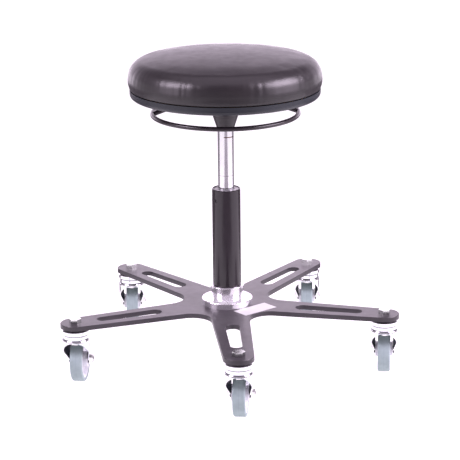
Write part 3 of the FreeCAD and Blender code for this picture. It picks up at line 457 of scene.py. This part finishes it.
def evened(mesh, steps):
    """The steps with each one drawn towards its neighbours', so that the cover swells without creases."""
    for _ in range(EVENING_ROUNDS):
        sums = [step.copy() for step in steps]
        counts = [1] * len(steps)
        for edge in mesh.edges:
            first, second = edge.vertices
            sums[first] += steps[second]
            sums[second] += steps[first]
            counts[first] += 1
            counts[second] += 1
        steps = [total / count for total, count in zip(sums, counts)]
    return steps


def swell(cushion, low):
    """Where the cover's points go under air pressure, with its base held."""
    mesh = cushion.data
    held = cushion.vertex_groups.new(name="base_edge")
    held.add([vertex.index for vertex in mesh.vertices if vertex.co.z < low.z + FIXED_RISE], 1.0, "REPLACE")
    cloth = cushion.modifiers.new("cover", "CLOTH")
    cloth.settings.vertex_group_mass = held.name
    cloth.settings.use_pressure = True
    cloth.settings.uniform_pressure_force = COVER_PRESSURE
    cloth.settings.effector_weights.gravity = 0.0
    cloth.settings.tension_stiffness = COVER_STIFFNESS
    cloth.settings.compression_stiffness = COVER_STIFFNESS
    cloth.settings.quality = COVER_QUALITY
    scene = bpy.context.scene
    for frame_number in range(1, COVER_FRAMES + 1):
        scene.frame_set(frame_number)
    swollen = cushion.evaluated_get(bpy.context.evaluated_depsgraph_get()).data
    moved = [vertex.co.copy() for vertex in swollen.vertices]
    cushion.modifiers.clear()
    scene.frame_set(1)
    return moved


def inflate(cushion, low, high):
    """Swells the cover, keeping each move short and the cushion's overall size."""
    mesh = cushion.data
    start = [vertex.co.copy() for vertex in mesh.vertices]
    steps = [capped(after - before) for before, after in zip(start, swell(cushion, low))]
    for vertex, before, step in zip(mesh.vertices, start, evened(mesh, steps)):
        vertex.co = before + step
    centre = (low + high) / 2
    reach = max(math.hypot(vertex.co.x - centre.x, vertex.co.y - centre.y) for vertex in mesh.vertices)
    rise = max(vertex.co.z for vertex in mesh.vertices) - low.z
    wide = (high.x - low.x) / 2 / reach
    tall = (high.z - low.z) / rise
    for vertex in mesh.vertices:
        away = vertex.co - centre
        vertex.co = (centre.x + away.x * wide, centre.y + away.y * wide, low.z + (vertex.co.z - low.z) * tall)


def draw_in(cushion, low, high):
    """Pull lines up the side, where the cover is drawn under the board, and a slight unevenness all over."""
    mesh = cushion.data
    centre = (low + high) / 2
    chance = random.Random(PULL_SEED)
    lines = [(chance.uniform(0.0, 2.0 * math.pi), chance.uniform(*PULL_DEPTHS), chance.uniform(*PULL_WIDTHS),
              chance.uniform(*PULL_RISES)) for _ in range(PULL_COUNT)]
    normals = [vertex.normal.copy() for vertex in mesh.vertices]
    for vertex, normal in zip(mesh.vertices, normals):
        away = vertex.co - centre
        around = math.atan2(away.y, away.x)
        radius = math.hypot(away.x, away.y)
        rise = vertex.co.z - low.z
        sink = UNEVEN_DEPTH * noise.noise(vertex.co * UNEVEN_SCALE) if rise > FIXED_RISE else 0.0
        if radius > SHOULDER_RADIUS - PULL_WIDTHS[1]:
            for angle, depth, width, reach in lines:
                aside = math.remainder(around - angle, 2.0 * math.pi) * radius / width
                if abs(aside) < PULL_REACH and rise < reach:
                    sink += depth * math.exp(-aside * aside) * math.sin(math.pi * rise / reach)
        vertex.co -= normal * sink


def make_cushion():
    """The padded seat, in the place of its plain solid."""
    low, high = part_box("seat_cushion")
    section = cushion_section((high.x - low.x) / 2 - COVER_SLACK, high.z - low.z - COVER_SLACK)
    mesh = cushion_mesh(section, (low + high) / 2, low.z)
    cushion = bpy.data.objects.new("padded_seat", mesh)
    bpy.context.scene.collection.objects.link(cushion)
    mesh.materials.append(vinyl())
    inflate(cushion, low, high)
    draw_in(cushion, low, high)
    cushion.modifiers.new("smooth", "SUBSURF").render_levels = 1
    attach(cushion, "seat")
    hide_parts("seat_cushion")


# Label: its middle on the plate, its turn in degrees, its size, and its faces' heights over the plate.
LABEL_PLACE = Vector((46.4, -43.8)) * MM
LABEL_TURN = 36.3
LABEL_SIZE = Vector((71.0, 33.0)) * MM
LABEL_HEIGHTS = (0.02 * MM, 0.15 * MM)


def make_label():
    """A blank paper label beside the hub."""
    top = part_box("base_plate")[1].z
    turn = Matrix.Rotation(math.radians(LABEL_TURN), 2)
    spots = [LABEL_PLACE + turn @ Vector((x * LABEL_SIZE.x / 2, y * LABEL_SIZE.y / 2))
             for x, y in ((-1, -1), (1, -1), (1, 1), (-1, 1))]
    sides = [(corner, (corner + 1) % 4, (corner + 1) % 4 + 4, corner + 4) for corner in range(4)]
    mesh = bpy.data.meshes.new("plate_label")
    mesh.from_pydata([(*spot, top + height) for height in LABEL_HEIGHTS for spot in spots], [],
                     [(3, 2, 1, 0), (4, 5, 6, 7), *sides])
    label = bpy.data.objects.new("plate_label", mesh)
    bpy.context.scene.collection.objects.link(label)
    mesh.materials.append(moulded("label_paper", PAPER, low=0.4, high=0.5))
    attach(label, "base")


# Studio colours: the tint of all its light, and the floor's surface and glow.
STUDIO_TINT = (1.0, 0.86, 1.03)
FLOOR_SURFACE = (0.3, 0.3, 0.3)
FLOOR_GLOW = (1.0, 0.93, 1.01)
WHITE = (1.0, 1.0, 1.0)
BLACK = (0.0, 0.0, 0.0)
STAGE_ROUGHNESS = 0.9

# Stage sizes, and each grey card's two corners and glow: in front, behind on the left, behind on the right.
FLOOR_REACH = 40.0
BACKDROP_HEIGHT = 30.0
BACKDROP_SIDES = 48
CARD_HEIGHT = 1.0 * MM
CARDS = (((-0.6, -2.4), (0.6, -0.62), 0.52),
         ((-2.6, 0.36), (-0.2, 3.2), 0.3),
         ((0.2, 0.36), (2.6, 3.2), 0.3))


def make_stage(name, corners, faces, surface, glow, unseen_by=()):
    """A part of the stage, with a matt surface that also glows, hidden from some kinds of ray."""
    mesh = bpy.data.meshes.new(name)
    mesh.from_pydata(corners, [], faces)
    sheet = bpy.data.objects.new(name, mesh)
    bpy.context.scene.collection.objects.link(sheet)
    material = bpy.data.materials.new(name)
    material.use_nodes = True
    shader = material.node_tree.nodes["Principled BSDF"]
    shader.inputs["Base Color"].default_value = (*surface, 1.0)
    shader.inputs["Roughness"].default_value = STAGE_ROUGHNESS
    shader.inputs["Specular IOR Level"].default_value = 0.0
    shader.inputs["Emission Color"].default_value = (*glow, 1.0)
    shader.inputs["Emission Strength"].default_value = 1.0
    mesh.materials.append(material)
    for ray in unseen_by:
        setattr(sheet, f"visible_{ray}", False)


def make_level(name, low, high, height, *look):
    """A level rectangle of the stage between two corners."""
    corners = [(low[0], low[1], height), (high[0], low[1], height), (high[0], high[1], height),
               (low[0], high[1], height)]
    make_stage(name, corners, [(0, 1, 2, 3)], *look)


def make_floor():
    """A white floor, and grey cards in front and behind that only reflections show."""
    make_level("studio_floor", (-FLOOR_REACH, -FLOOR_REACH), (FLOOR_REACH, FLOOR_REACH), 0.0,
               FLOOR_SURFACE, FLOOR_GLOW)
    for number, (low, high, glow) in enumerate(CARDS, start=1):
        tint = [glow * part for part in STUDIO_TINT]
        make_level(f"grey_card_{number}", low, high, CARD_HEIGHT,
                   BLACK, tint, ("camera", "shadow", "diffuse"))


def make_backdrop():
    """A white wall round the floor, which only the camera sees."""
    turns = [2.0 * math.pi * side / BACKDROP_SIDES for side in range(BACKDROP_SIDES)]
    corners = [(FLOOR_REACH * math.cos(turn), FLOOR_REACH * math.sin(turn), height)
               for height in (0.0, BACKDROP_HEIGHT) for turn in turns]
    faces = [(side, (side + 1) % BACKDROP_SIDES, (side + 1) % BACKDROP_SIDES + BACKDROP_SIDES,
              side + BACKDROP_SIDES) for side in range(BACKDROP_SIDES)]
    make_stage("backdrop", corners, faces, BLACK, WHITE, ("glossy", "diffuse", "shadow"))


# A panel's energy per square metre for a glow of 1, which is white, and the room's own glow.
GLOW_ENERGY = 4.0
ROOM_GLOW = 0.33

# The wall behind the stool: its distance and size, and the height and glow of each of its two panels.
WALL_DISTANCE = 1.6
WALL_SIZE = (3.8, 0.50)
WALL_PANELS = (("wall_low", 0.47, 1.7), ("wall_high", 0.97, 1.12))

# Side panels: the spot on the seat that each faces, its turn and rise in degrees, its size and its glow.
SIDE_DISTANCE = 1.5
LEFT_SPOT = (-0.09, -0.14, 0.545)
RIGHT_SPOT = (0.10, -0.13, 0.545)
SIDE_PANELS = (("left_box", LEFT_SPOT, -72.0, 31.0, (0.70, 0.70), 12.0),
               ("right_box", RIGHT_SPOT, 74.0, 31.0, (1.1, 0.80), 13.0),
               ("left_fill", LEFT_SPOT, -72.0, 9.0, (0.80, 0.45), 2.4),
               ("right_fill", RIGHT_SPOT, 74.0, 7.0, (1.2, 0.45), 2.8))

# The panel overhead.
TOP_PLACE = (0.0, -0.2, 2.6)
TOP_SIZE = (2.6, 2.6)
TOP_GLOW = 0.8


def soft_light(name, place, target, size, glow):
    """A panel that faces its target and glows with that brightness."""
    width, height = size
    light = bpy.data.lights.new(name, "AREA")
    light.shape = "RECTANGLE"
    light.size = width
    light.size_y = height
    light.energy = glow * GLOW_ENERGY * width * height
    light.color = STUDIO_TINT
    panel = bpy.data.objects.new(name, light)
    panel.location = place
    panel.rotation_euler = (Vector(target) - Vector(place)).to_track_quat("-Z", "Y").to_euler()
    panel.visible_camera = False
    bpy.context.scene.collection.objects.link(panel)


def towards(target, turn, rise, distance):
    """The place seen from the target at that turn from the front and that rise, in degrees."""
    turn, rise = math.radians(turn), math.radians(rise)
    level = math.cos(rise)
    direction = Vector((math.sin(turn) * level, -math.cos(turn) * level, math.sin(rise)))
    return Vector(target) + distance * direction


def light_studio():
    """A bright wall behind, a softbox over a dimmer panel on each side, a panel overhead and a grey room."""
    for name, height, glow in WALL_PANELS:
        soft_light(name, (0.0, WALL_DISTANCE, height), (0.0, 0.0, height), WALL_SIZE, glow)
    for name, spot, turn, rise, size, glow in SIDE_PANELS:
        soft_light(name, towards(spot, turn, rise, SIDE_DISTANCE), spot, size, glow)
    soft_light("top_panel", TOP_PLACE, (0.0, 0.0, 0.0), TOP_SIZE, TOP_GLOW)
    world = bpy.data.worlds.new("studio")
    bpy.context.scene.world = world
    world.use_nodes = True
    background = world.node_tree.nodes["Background"]
    background.inputs["Color"].default_value = (*STUDIO_TINT, 1.0)
    background.inputs["Strength"].default_value = ROOM_GLOW


# Camera: its place, its heading, pitch and roll in degrees, and its focal length for a 460-pixel frame.
CAMERA_PLACE = Vector((-0.2067, -3.2901, 1.1968))
CAMERA_HEADING = 3.70
CAMERA_PITCH = 16.03
CAMERA_ROLL = -0.55
IMAGE_SIZE = 460
FOCAL_PIXELS = 1947.0
SENSOR_WIDTH = 36.0


def place_camera():
    """The photograph's view: far back, a little to the left, looking down."""
    heading, pitch, roll = (math.radians(angle) for angle in (CAMERA_HEADING, CAMERA_PITCH, CAMERA_ROLL))
    level = math.cos(pitch)
    forward = Vector((math.sin(heading) * level, math.cos(heading) * level, -math.sin(pitch)))
    right = Vector((math.cos(heading), -math.sin(heading), 0.0))
    up = right.cross(forward)
    tilted_right = math.cos(roll) * right + math.sin(roll) * up
    tilted_up = math.cos(roll) * up - math.sin(roll) * right
    turn = Matrix((tilted_right, tilted_up, -forward)).transposed()
    data = bpy.data.cameras.new("camera")
    data.sensor_width = SENSOR_WIDTH
    data.lens = FOCAL_PIXELS / IMAGE_SIZE * SENSOR_WIDTH
    camera = bpy.data.objects.new("camera", data)
    camera.matrix_world = Matrix.Translation(CAMERA_PLACE) @ turn.to_4x4()
    bpy.context.scene.collection.objects.link(camera)
    bpy.context.scene.camera = camera


finish_nodes()
make_cushion()
make_label()
make_floor()
make_backdrop()
light_studio()
place_camera()
bpy.context.scene.view_settings.view_transform = "Standard"
